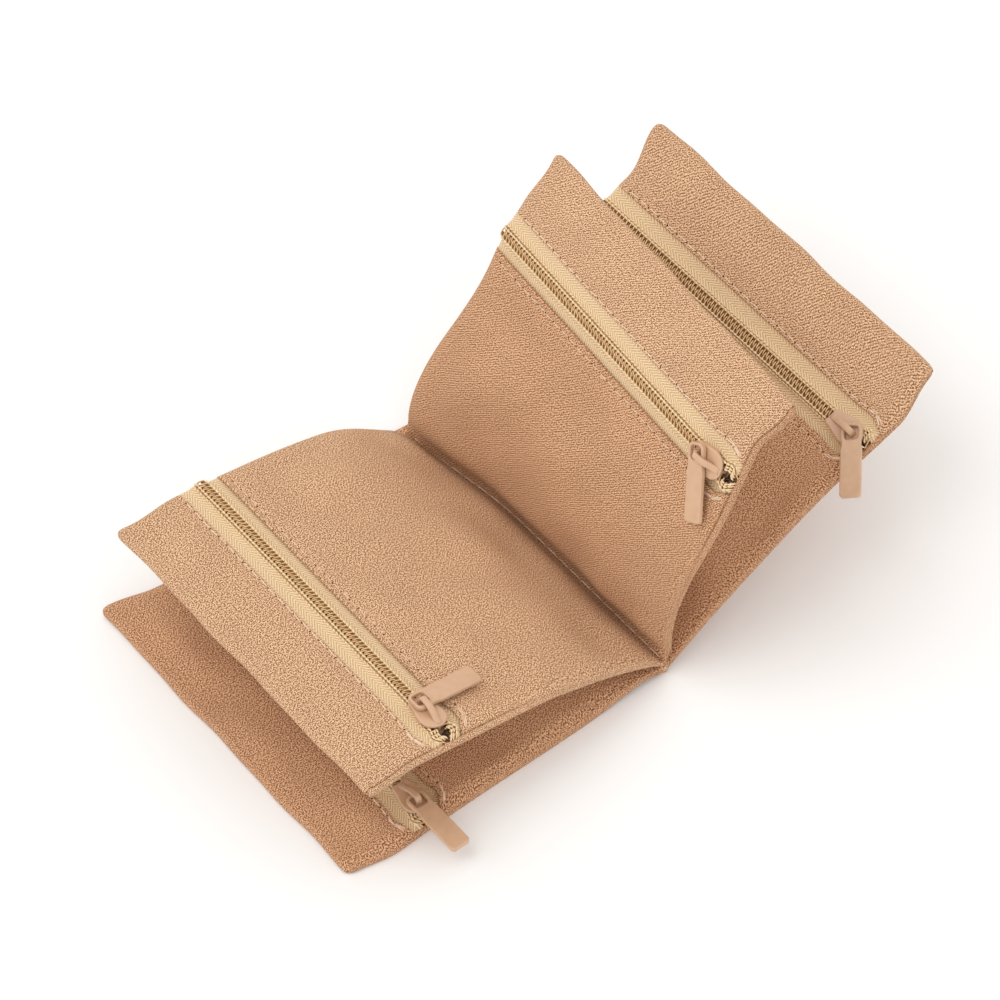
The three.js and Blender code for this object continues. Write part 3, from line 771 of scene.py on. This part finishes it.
def make_welt(name):
    """The narrow rolled seam that closes a page's near side."""
    page = PAGES[name]
    sides = 12
    turns = np.linspace(0, 2 * math.pi, sides, endpoint=False)
    s_list = stations([0, 10, PAGE_WIDTH - 3, PAGE_WIDTH - 0.2], [0.8, 1.5, 0.25])
    s, turn = [v.ravel() for v in np.meshgrid(s_list, turns, indexing="ij")]
    size = quarter_round((PAGE_WIDTH - s) / 2.2)
    y = WELT_ROLL - HALF - WELT_ROLL * np.cos(turn) * size
    height = WELT_HEIGHT * (1 - 0.45 * (1 - groove_at(page, s))) * cloth_at(s) / CLOTH
    points = place(page, s, y, height * np.sin(turn) * size)
    middle = (page["spine_front"] + page["spine_back"]) / 2
    points = gathered(page, (middle,))(points, s, 0, center=True)
    faces = ring_faces(len(s_list), sides, page["side"] < 0)
    uvs = np.stack([s, turn * WELT_HEIGHT - HALF], -1)
    obj = new_object(f"{name}_near_welt", points, faces, page_cloth(page), uvs)
    hold(obj, name, True)


# Zipper

def parting_at(y):
    """How far each half of the zipper stands aside, round the slider's post and behind it."""
    chain_end = SLIDER_PLACE + SLIDER_LENGTH / 3
    post_end = SLIDER_PLACE - SLIDER_LENGTH / 2 + POST_LENGTH
    opened = PARTING * ease((chain_end - y) / (chain_end - post_end))
    gap = 1 + 0.7 * bump(y, GAP_PLACE, 1.5)
    return opened * gap * (1 - 0.75 * ease((GAP_PLACE - y) / 3.2))


ZIP_NEAR = 0.9 - HALF
TAPE_END = HALF + 1.3


def make_tape(name, half, hand):
    page = PAGES[name]
    shares = np.linspace(0, 1, 10)
    y_list = stations([ZIP_NEAR, -37, HALF - 5, TAPE_END], [0.3, 1.5, 0.25])
    share, y = [v.ravel() for v in np.meshgrid(shares, y_list, indexing="ij")]
    inner = TAPE_SLIT + parting_at(y)
    s = ZIP_PLACE + hand * (inner + (ZIP_FLAT - inner) * share)
    hugged = 0.6 * (1 - ease((np.abs(s - ZIP_PLACE) - parting_at(y) - 1.9) / 0.9))
    top = (TAPE_TOP if hand < 0 else TAPE_TOP + 0.3) + hugged
    layers = [along_zip(page, s, y, top), along_zip(page, s, y, top - TAPE)]
    faces = sheet_faces(len(shares), len(y_list), page["side"] * hand > 0)
    uvs = np.stack([np.tile(s - ZIP_PLACE, 2), np.tile(y, 2)], -1)
    obj = new_object(f"{name}_tape_{half}_weave", np.vstack(layers), faces, WEAVE, uvs)
    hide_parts(f"{name}_tape_{half}")
    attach(obj, name)


WIRE = 0.21
RUNG_PASS = 0.5
COIL_END = HALF + 1.3
END_STITCHES = 3
SEWING_RADIUS = 0.31
CORE_RADIUS = 0.36
CORE_ASIDE = 0.95


def make_coil(name, half, hand):
    """One half of the wound nylon coil, its loops meshing with the other half's."""
    page = PAGES[name]
    turns = int((COIL_END - ZIP_NEAR) / COIL_PITCH) - 1
    steps = 12
    angle = np.arange(turns * steps + 1) * 2 * math.pi / steps
    low, high = -RUNG_PASS, COIL_BACK - WIRE
    middle_turn = math.acos((low + high) / (high - low)) / (2 * math.pi)
    phase = 0 if hand > 0 else (2 * middle_turn + 0.5) % 1
    y = ZIP_NEAR + COIL_PITCH * (phase + angle / (2 * math.pi))
    across = (low + high) / 2 - (high - low) / 2 * np.cos(angle)
    rise = hand * ((COIL_TOP - COIL_BASE) / 2 - WIRE)
    height = (COIL_BASE + COIL_TOP) / 2 + rise * np.sign(np.sin(angle)) * np.abs(np.sin(angle)) ** 0.6
    s = ZIP_PLACE + hand * (across + parting_at(y))
    verts, faces = tube(along_zip(page, s, y, height), WIRE, 7)
    obj = new_object(f"{name}_coil_{half}_wire", verts, faces, NYLON)
    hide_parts(f"{name}_coil_{half}")
    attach(obj, name)


def make_coil_sewing(name):
    """Rows of chain stitch that hold each coil half to its tape: two, and two more at the near end."""
    page = PAGES[name]
    parts = []
    along = np.linspace(-0.5, 0.5, 5)
    swell = np.array([0.35, 0.85, 1.0, 0.85, 0.35])
    all_stitches = int((COIL_END - ZIP_NEAR) / COIL_PITCH) - 1
    for hand in (-1, 1):
        for row, slant, crown, count in (
            (1.5, 0.22, COIL_TOP - 0.1, all_stitches),
            (2.1, -0.22, COIL_BASE + 0.55, all_stitches),
            (-0.15, 0.22, COIL_TOP - 0.1, END_STITCHES),
            (0.55, -0.22, COIL_TOP - 0.1, END_STITCHES),
        ):
            for i in range(count):
                y = ZIP_NEAR + (i + 0.75 + 0.25 * hand) * COIL_PITCH + along * COIL_PITCH * 1.02
                s = ZIP_PLACE + hand * (row + slant * along + parting_at(y))
                height = crown - 0.12 * (2 * along) ** 2
                parts.append(tube(along_zip(page, s, y, height), SEWING_RADIUS * swell, 5))
    verts, faces = join_parts(parts)
    obj = new_object(f"{name}_coil_sewing", verts, faces, SEWING)
    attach(obj, name)


def make_coil_core(name):
    """The filler cord inside each coil half, seen between its loops: its dark brown is partly the cord's
    own colour and partly painted shade for the gaps between the loops.
    """
    page = PAGES[name]
    nose = SLIDER_PLACE - SLIDER_LENGTH / 2 - page["near_draw"]
    behind_slider = stations([ZIP_NEAR + 0.5, nose - 0.5], [0.3])
    chain = stations([SLIDER_PLACE, SLIDER_PLACE + 4, HALF - 4, COIL_END - 1.6], [0.3, 1.0, 0.3])
    height = (COIL_BASE + COIL_TOP) / 2 - 0.05
    parts = []
    for hand in (-1, 1):
        for y in (behind_slider, chain):
            middle = along_zip(page, ZIP_PLACE + hand * (CORE_ASIDE + parting_at(y)), y, height)
            parts.append(tube(middle, CORE_RADIUS, 8))
    verts, faces = join_parts(parts)
    obj = new_object(f"{name}_coil_core", verts, faces, CORE_AND_GAP_SHADE)
    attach(obj, name)


# Thread

def stitch_row(page, s_place, y_start, y_end, pitch, length, radius, surface, rng):
    """Stitches as short threads that dip into the cloth at both ends, and where they dip."""
    parts, holes = [], []
    along = np.linspace(-0.5, 0.5, 7)
    rise = 1 - (2 * along) ** 4
    for i in range(int((y_end - y_start) / pitch)):
        middle = y_start + (i + 0.5) * pitch
        y = middle + along * length
        s = s_place + rng.uniform(-0.12, 0.12) + along * rng.uniform(-0.25, 0.25)
        level = surface(s, y) + radius * (1.5 * rise - 0.9)
        parts.append(tube(place(page, crowd(s, y), y, level), radius * (0.55 + 0.45 * rise), 6))
        holes.append((s_place, middle + pitch / 2))
    return parts, holes


def disc(page, s, y, put, radius, sides=8):
    """A dark spot, for a needle hole in the cloth and for painted shade in the hollow between the parted
    coil halves. put gives points at a height over its surface.
    """
    turns = np.linspace(0, 2 * math.pi, sides, endpoint=False)
    ring_s = np.append(s + radius * np.cos(turns), [s, s])
    ring_y = np.append(y + radius * 1.25 * np.sin(turns), [y, y])
    verts = put(ring_s, ring_y, np.append(np.zeros(sides), [0.05, -0.2]))
    side = page["side"]
    faces = []
    for j in range(sides):
        k = (j + 1) % sides
        faces.append((j, k, sides) if side > 0 else (k, j, sides))
        faces.append((k, j, sides + 1) if side > 0 else (j, k, sides + 1))
    return verts, faces


STITCH_START = 2.6 - HALF


def make_topstitch(name):
    page = PAGES[name]
    rng = np.random.default_rng(page["seed"] + 100)
    parts, discs = [], []

    def surface(s, y):
        return front_at(page, np.asarray(s, float), np.asarray(y, float))

    def on_cloth(s, y, height):
        return place(page, crowd(s, y), y, surface(s, y) + height)

    def in_zip(s, y, height):
        return along_zip(page, s, y, COIL_BASE + 0.1 + height)

    for s_place, radius in ((INNER_STITCH, INNER_STITCH_RADIUS), (OUTER_STITCH, STITCH_RADIUS)):
        row, holes = stitch_row(
            page, s_place, STITCH_START, HALF - 2, STITCH_PITCH, STITCH_LENGTH, radius, surface, rng)
        parts += row
        discs += [disc(page, s, y, on_cloth, NEEDLE_HOLE) for s, y in holes]
        for aside in (0.1, 0.5):
            tack, _ = stitch_row(
                page, s_place + aside, STITCH_START, -HALF + 9, 2.9, 3.1, STITCH_RADIUS, surface, rng)
            parts += tack
    verts, faces = join_parts(parts)
    thread = new_object(f"{name}_topstitch", verts, faces, THREAD)
    # Painted shade: a dark disc below the coil, in the hollow between its parted halves at the near end.
    discs.append(disc(page, ZIP_PLACE, HOLLOW_SHADE_PLACE, in_zip, HOLLOW_SHADE_RADIUS, 16))
    verts, faces = join_parts(discs)
    holes = new_object(f"{name}_needle_holes", verts, faces, DARK_HOLE_AND_HOLLOW_SHADE)
    for obj in (thread, holes):
        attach(obj, name)


# Slider and pull, in the slider's axes: x across the zipper, y along it, z out of the page

def slider_frame(page):
    edge = page["line"][3]
    side = page["side"]
    across = Vector((edge[0], 0, edge[1])) * side
    slope = page["far_lift"] / PAGE_LENGTH
    along = Vector((-edge[1] * side * slope, 1, edge[0] * side * slope)).normalized()
    out = across.cross(along)
    matrix = Matrix((across, along, out)).transposed().to_4x4()
    matrix.translation = Vector(place(page, ZIP_PLACE, SLIDER_PLACE, ZIP_HALF, drawn=False)) * MM
    return matrix


def plate(name, outline, low, high, edge, holes=()):
    """Mesh of a flat plate with rounded edges, from a plan outline, in millimetres."""
    curve = bpy.data.curves.new(name, "CURVE")
    curve.dimensions = "2D"
    curve.fill_mode = "BOTH"
    curve.extrude = (high - low) / 2 - edge
    curve.bevel_depth = edge
    curve.bevel_resolution = 3
    curve.offset = -edge
    for points in (outline, *holes):
        spline = curve.splines.new("POLY")
        spline.points.add(len(points) - 1)
        spline.points.foreach_set("co", np.array([(x, y, 0, 1) for x, y in points], np.float32).ravel())
        spline.use_cyclic_u = True
    obj = bpy.data.objects.new(name, curve)
    bpy.context.collection.objects.link(obj)
    graph = bpy.context.evaluated_depsgraph_get()
    mesh = bpy.data.meshes.new_from_object(obj.evaluated_get(graph))
    bpy.data.objects.remove(obj)
    verts = np.array([v.co for v in mesh.vertices]) + [0, 0, (low + high) / 2]
    return verts, [tuple(p.vertices) for p in mesh.polygons]


def arc_points(center, radius, start, end, steps):
    turns = np.radians(np.linspace(start, end, steps))
    return [(center[0] + radius[0] * math.cos(t), center[1] + radius[1] * math.sin(t)) for t in turns]


def slider_outline(grow=0.0):
    """Squared and narrow where the chain comes out, wide at the shoulders, round at the nose."""
    end = SLIDER_LENGTH / 2 + grow
    chain_half = CHAIN_HALF + grow
    wide = SHOULDER_HALF + grow
    corner = SLIDER_CORNER
    straight = end - corner
    right = arc_points((chain_half - corner, straight), (corner, corner), 90, 0, 5)
    neck = np.linspace(0, 1, 8)[1:]
    growth = wide - chain_half
    right += [(chain_half + growth * float(ease(t)), straight * (1 - t) + SHOULDER_PLACE * t) for t in neck]
    right += arc_points((0, NOSE_START), (wide, end + NOSE_START), 0, -90, 12)[1:]
    return right + [(-x, y) for x, y in right[-2::-1]]


def strap(points, width, thickness, samples=16):
    """A flat bent strap along points in y and z, with rounded edges."""
    points = np.asarray(points, float)
    tangents = np.gradient(points, axis=0)
    tangents /= np.linalg.norm(tangents, axis=1)[:, None]
    normals = np.stack([-tangents[:, 1], tangents[:, 0]], -1)
    turns = np.linspace(0, 2 * math.pi, samples, endpoint=False)
    ring_x = width / 2 * np.sign(np.cos(turns)) * np.abs(np.cos(turns)) ** 0.35
    ring_n = thickness / 2 * np.sign(np.sin(turns)) * np.abs(np.sin(turns)) ** 0.6
    verts = []
    for point, normal in zip(points, normals):
        for x, n in zip(ring_x, ring_n):
            verts.append((x, point[0] + normal[0] * n, point[1] + normal[1] * n))
    return np.array(verts), ring_faces(len(points), samples, flip=True)


def bail_path(upright_near):
    """The strap's line in y and z: upright at the leg that holds the pull, sloped to the other end."""
    half = BAIL_SPAN / 2
    foot = PLATE_TOP - 0.3
    top = PLATE_TOP + BAIL_GAP + BAIL_STRAP / 2
    bend = 1.1
    path = [(half, foot), (half, foot + 0.7)]
    path += arc_points((half - bend, top - bend), (bend, bend), 0, 90, 7)
    slope = np.linspace(0, 1, 9)[1:]
    start, end = half - bend - 0.8, -half - 1.5
    path += [(start + (end - start) * t, top + (foot + 0.1 - top) * float(ease(t))) for t in slope]
    return [(-y, z) for y, z in path] if upright_near else path[::-1]


def make_slider(name):
    page = PAGES[name]
    lips = []
    for hand in (-1, 1):
        outline = slider_outline(-LIP_INSET)
        sides = [(x, y) for x, y in outline if x > LIP_LEAST and SHOULDER < y < LIP_END]
        rail = [(hand * x, y) for x, y in sides]
        inner = [(hand * (x - LIP_WIDTH), y) for x, y in sides[::-1]]
        lips.append(plate("lip", rail + inner, LIP_FOOT, PLATE_FLOOR + 0.3, 0.1))
    top = plate("top", slider_outline(), PLATE_FLOOR, PLATE_TOP, 0.4)
    below = plate("below", slider_outline(), LOWER_PLATE_TOP - LOWER_PLATE, LOWER_PLATE_TOP, 0.3)
    post_outline = [(-POST_HALF, POST_BACK), (POST_HALF, POST_BACK), (POST_HALF, POST_TAPER)]
    post_outline += [(0.0, POST_POINT), (-POST_HALF, POST_TAPER)]
    post = plate("post", post_outline, LOWER_PLATE_TOP - 0.2, PLATE_FLOOR + 0.2, 0.08)
    bail = strap(bail_path(page["near_leg"]), BAIL_WIDTH, BAIL_STRAP)
    verts, faces = join_parts([top, below, post, bail, *lips])
    obj = new_object(f"{name}_slider_cast", verts, faces, PAINT)
    obj.data.transform(slider_frame(page))
    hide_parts(f"{name}_slider")
    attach(obj, f"slider_{name}")


def pull_outline():
    half = PULL_WIDTH / 2
    head = EYE_WIDTH / 2 + EYE_RIM
    foot = head - PULL_LENGTH
    neck = half - 0.28
    right = [(0, head), *arc_points((half - 1.7, head - 1.7), (1.7, 1.7), 90, 0, 9)]
    right += [(half, -1.2), (neck + 0.06, -2.1), (neck, -2.9), (neck + 0.05, -3.6), (half, -4.4)]
    right += arc_points((half - 1.1, foot + 1.1), (1.1, 1.1), 0, -90, 7)
    return right + [(-x, y) for x, y in right[:0:-1]]


def eye_outline():
    half = EYE_WIDTH / 2
    corner = 0.95
    points = []
    for k, (sx, sy) in enumerate(((1, 1), (-1, 1), (-1, -1), (1, -1))):
        center = (sx * (half - corner), sy * (half - corner))
        points += arc_points(center, (corner, corner), 90 * k, 90 * k + 90, 6)
    return points


def make_pull(name):
    page = PAGES[name]
    verts, faces = plate("pull", pull_outline(), 0, PULL_THICKNESS, 0.32, [eye_outline()])
    leg = -BAIL_SPAN / 2 if page["near_leg"] else BAIL_SPAN / 2
    straight_out = 0 if page["near_leg"] else 180
    towards_spine = -page["side"] if page["near_leg"] else page["side"]
    turn = math.radians(straight_out + towards_spine * page["pull_turn"])
    place_on_leg = Matrix.Translation(Vector((0, leg, PLATE_TOP + LAYER_GAP)) * MM)
    obj = new_object(f"{name}_pull_cast", verts, faces, PAINT)
    obj.data.transform(slider_frame(page) @ place_on_leg @ Matrix.Rotation(turn, 4, "Z"))
    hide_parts(f"{name}_pull")
    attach(obj, f"pull_{name}")


# Spine

def make_spine():
    """The sewn stack of cloth along the spine, and the thread in its valley."""
    near_end, far_end = -HALF - 0.2, HALF - 3.2
    y_list = stations([near_end, near_end + 3, far_end - 3, far_end], [0.3, 2.0, 0.4])
    sides = 16
    turns = np.linspace(0, 2 * math.pi, sides, endpoint=False)
    parts = []
    for y in y_list:
        taper = float(quarter_round(min(y - near_end, far_end - y) / 1.6 + 0.08))
        shift = SPINE_SKEW[0] * float(ease((y - SKEW_START) / SKEW_REACH))
        x = shift + SPINE_HALF_WIDTH * taper * np.sign(np.cos(turns)) * np.abs(np.cos(turns)) ** 0.6
        z = SPINE_MIDDLE + SPINE_HALF_HEIGHT * taper * np.sign(np.sin(turns)) * np.abs(np.sin(turns)) ** 0.6
        parts.append(np.stack([x, np.full(sides, y), np.maximum(z, 0)], -1))
    verts = np.vstack(parts)
    faces = ring_faces(len(y_list), sides)
    uvs = np.stack([np.tile(np.linspace(0, 14, sides), len(y_list)), verts[:, 1]], -1)
    stack = new_object("spine_seam_cloth", verts, faces, SUEDE, uvs)
    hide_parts("spine_seam")
    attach(stack, ROOT)
    threads = []
    along = np.linspace(-0.5, 0.5, 7)
    rise = 1 - (2 * along) ** 4
    for i in range(int((PAGE_LENGTH - 5) / SPINE_STITCH_PITCH)):
        y = -HALF + (i + 0.9) * SPINE_STITCH_PITCH + along * SPINE_STITCH_PITCH * 0.92
        x = SPINE_THREAD_X + SPINE_SKEW[0] * ease((y - SKEW_START) / SKEW_REACH)
        z = SPINE_TOP + SPINE_THREAD_HEIGHT + 0.3 * rise
        threads.append(tube(np.stack([x, y, z], -1), SPINE_THREAD_RADIUS * (0.6 + 0.4 * rise), 6))
    verts, faces = join_parts(threads)
    thread = new_object("spine_stitches", verts, faces, THREAD)
    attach(thread, ROOT)


# Camera, light and floor

VIEW_AZIMUTH = -38.70
VIEW_ELEVATION = 51.51
VIEW_DISTANCE = 1250.0
VIEW_SCALE = 3.8513
VIEW_POINT = (0.0, 0.0, 5.4)
VIEW_POINT_PIXEL = (537.0, 534.8)
IMAGE = 1000.0
SENSOR = 36.0


def look_from(azimuth, elevation):
    a, e = math.radians(azimuth), math.radians(elevation)
    return Vector((math.sin(a) * math.cos(e), -math.cos(a) * math.cos(e), math.sin(e)))


def make_camera():
    data = bpy.data.cameras.new("camera")
    data.sensor_width = SENSOR
    data.lens = VIEW_SCALE * VIEW_DISTANCE / IMAGE * SENSOR
    data.shift_x = -(VIEW_POINT_PIXEL[0] - IMAGE / 2) / IMAGE
    data.shift_y = (VIEW_POINT_PIXEL[1] - IMAGE / 2) / IMAGE
    data.clip_start = 0.05
    camera = bpy.data.objects.new("camera", data)
    back = look_from(VIEW_AZIMUTH, VIEW_ELEVATION)
    camera.location = (Vector(VIEW_POINT) + back * VIEW_DISTANCE) * MM
    camera.rotation_euler = back.to_track_quat("Z", "Y").to_euler()
    bpy.context.collection.objects.link(camera)
    bpy.context.scene.camera = camera


def area_light(name, azimuth, elevation, distance, size, power, color=(1, 1, 1)):
    data = bpy.data.lights.new(name, "AREA")
    data.shape = "DISK"
    data.size = size
    data.energy = power
    data.color = color
    light = bpy.data.objects.new(name, data)
    back = look_from(azimuth, elevation)
    light.location = back * distance
    light.rotation_euler = back.to_track_quat("Z", "Y").to_euler()
    bpy.context.collection.objects.link(light)


def make_stage():
    world = bpy.data.worlds.new("studio")
    world.use_nodes = True
    background = world.node_tree.nodes["Background"]
    background.inputs["Color"].default_value = (1.0, 0.985, 0.965, 1.0)
    background.inputs["Strength"].default_value = 1.06
    bpy.context.scene.world = world
    area_light("key", -100, 64, 1.1, 0.7, 2.6)
    size = 3.0
    level = -0.0002
    mesh = bpy.data.meshes.new("floor")
    corners = [(x * size, y * size, level) for x, y in ((-1, -1), (1, -1), (1, 1), (-1, 1))]
    mesh.from_pydata(corners, [], [(0, 1, 2, 3)])
    mat, _, shader = material("floor", 0.9)
    shader.inputs["Base Color"].default_value = (0.92, 0.92, 0.92, 1.0)
    mesh.materials.append(mat)
    floor = bpy.data.objects.new("floor", mesh)
    bpy.context.collection.objects.link(floor)
    bpy.context.scene.view_settings.view_transform = "Standard"


make_camera()
make_stage()
make_spine()
for name in PAGES:
    make_cloth(name)
    make_welt(name)
    for half, hand in (("inner", -1), ("outer", 1)):
        make_tape(name, half, hand)
        make_coil(name, half, hand)
    make_coil_core(name)
    make_coil_sewing(name)
    make_topstitch(name)
    make_slider(name)
    make_pull(name)
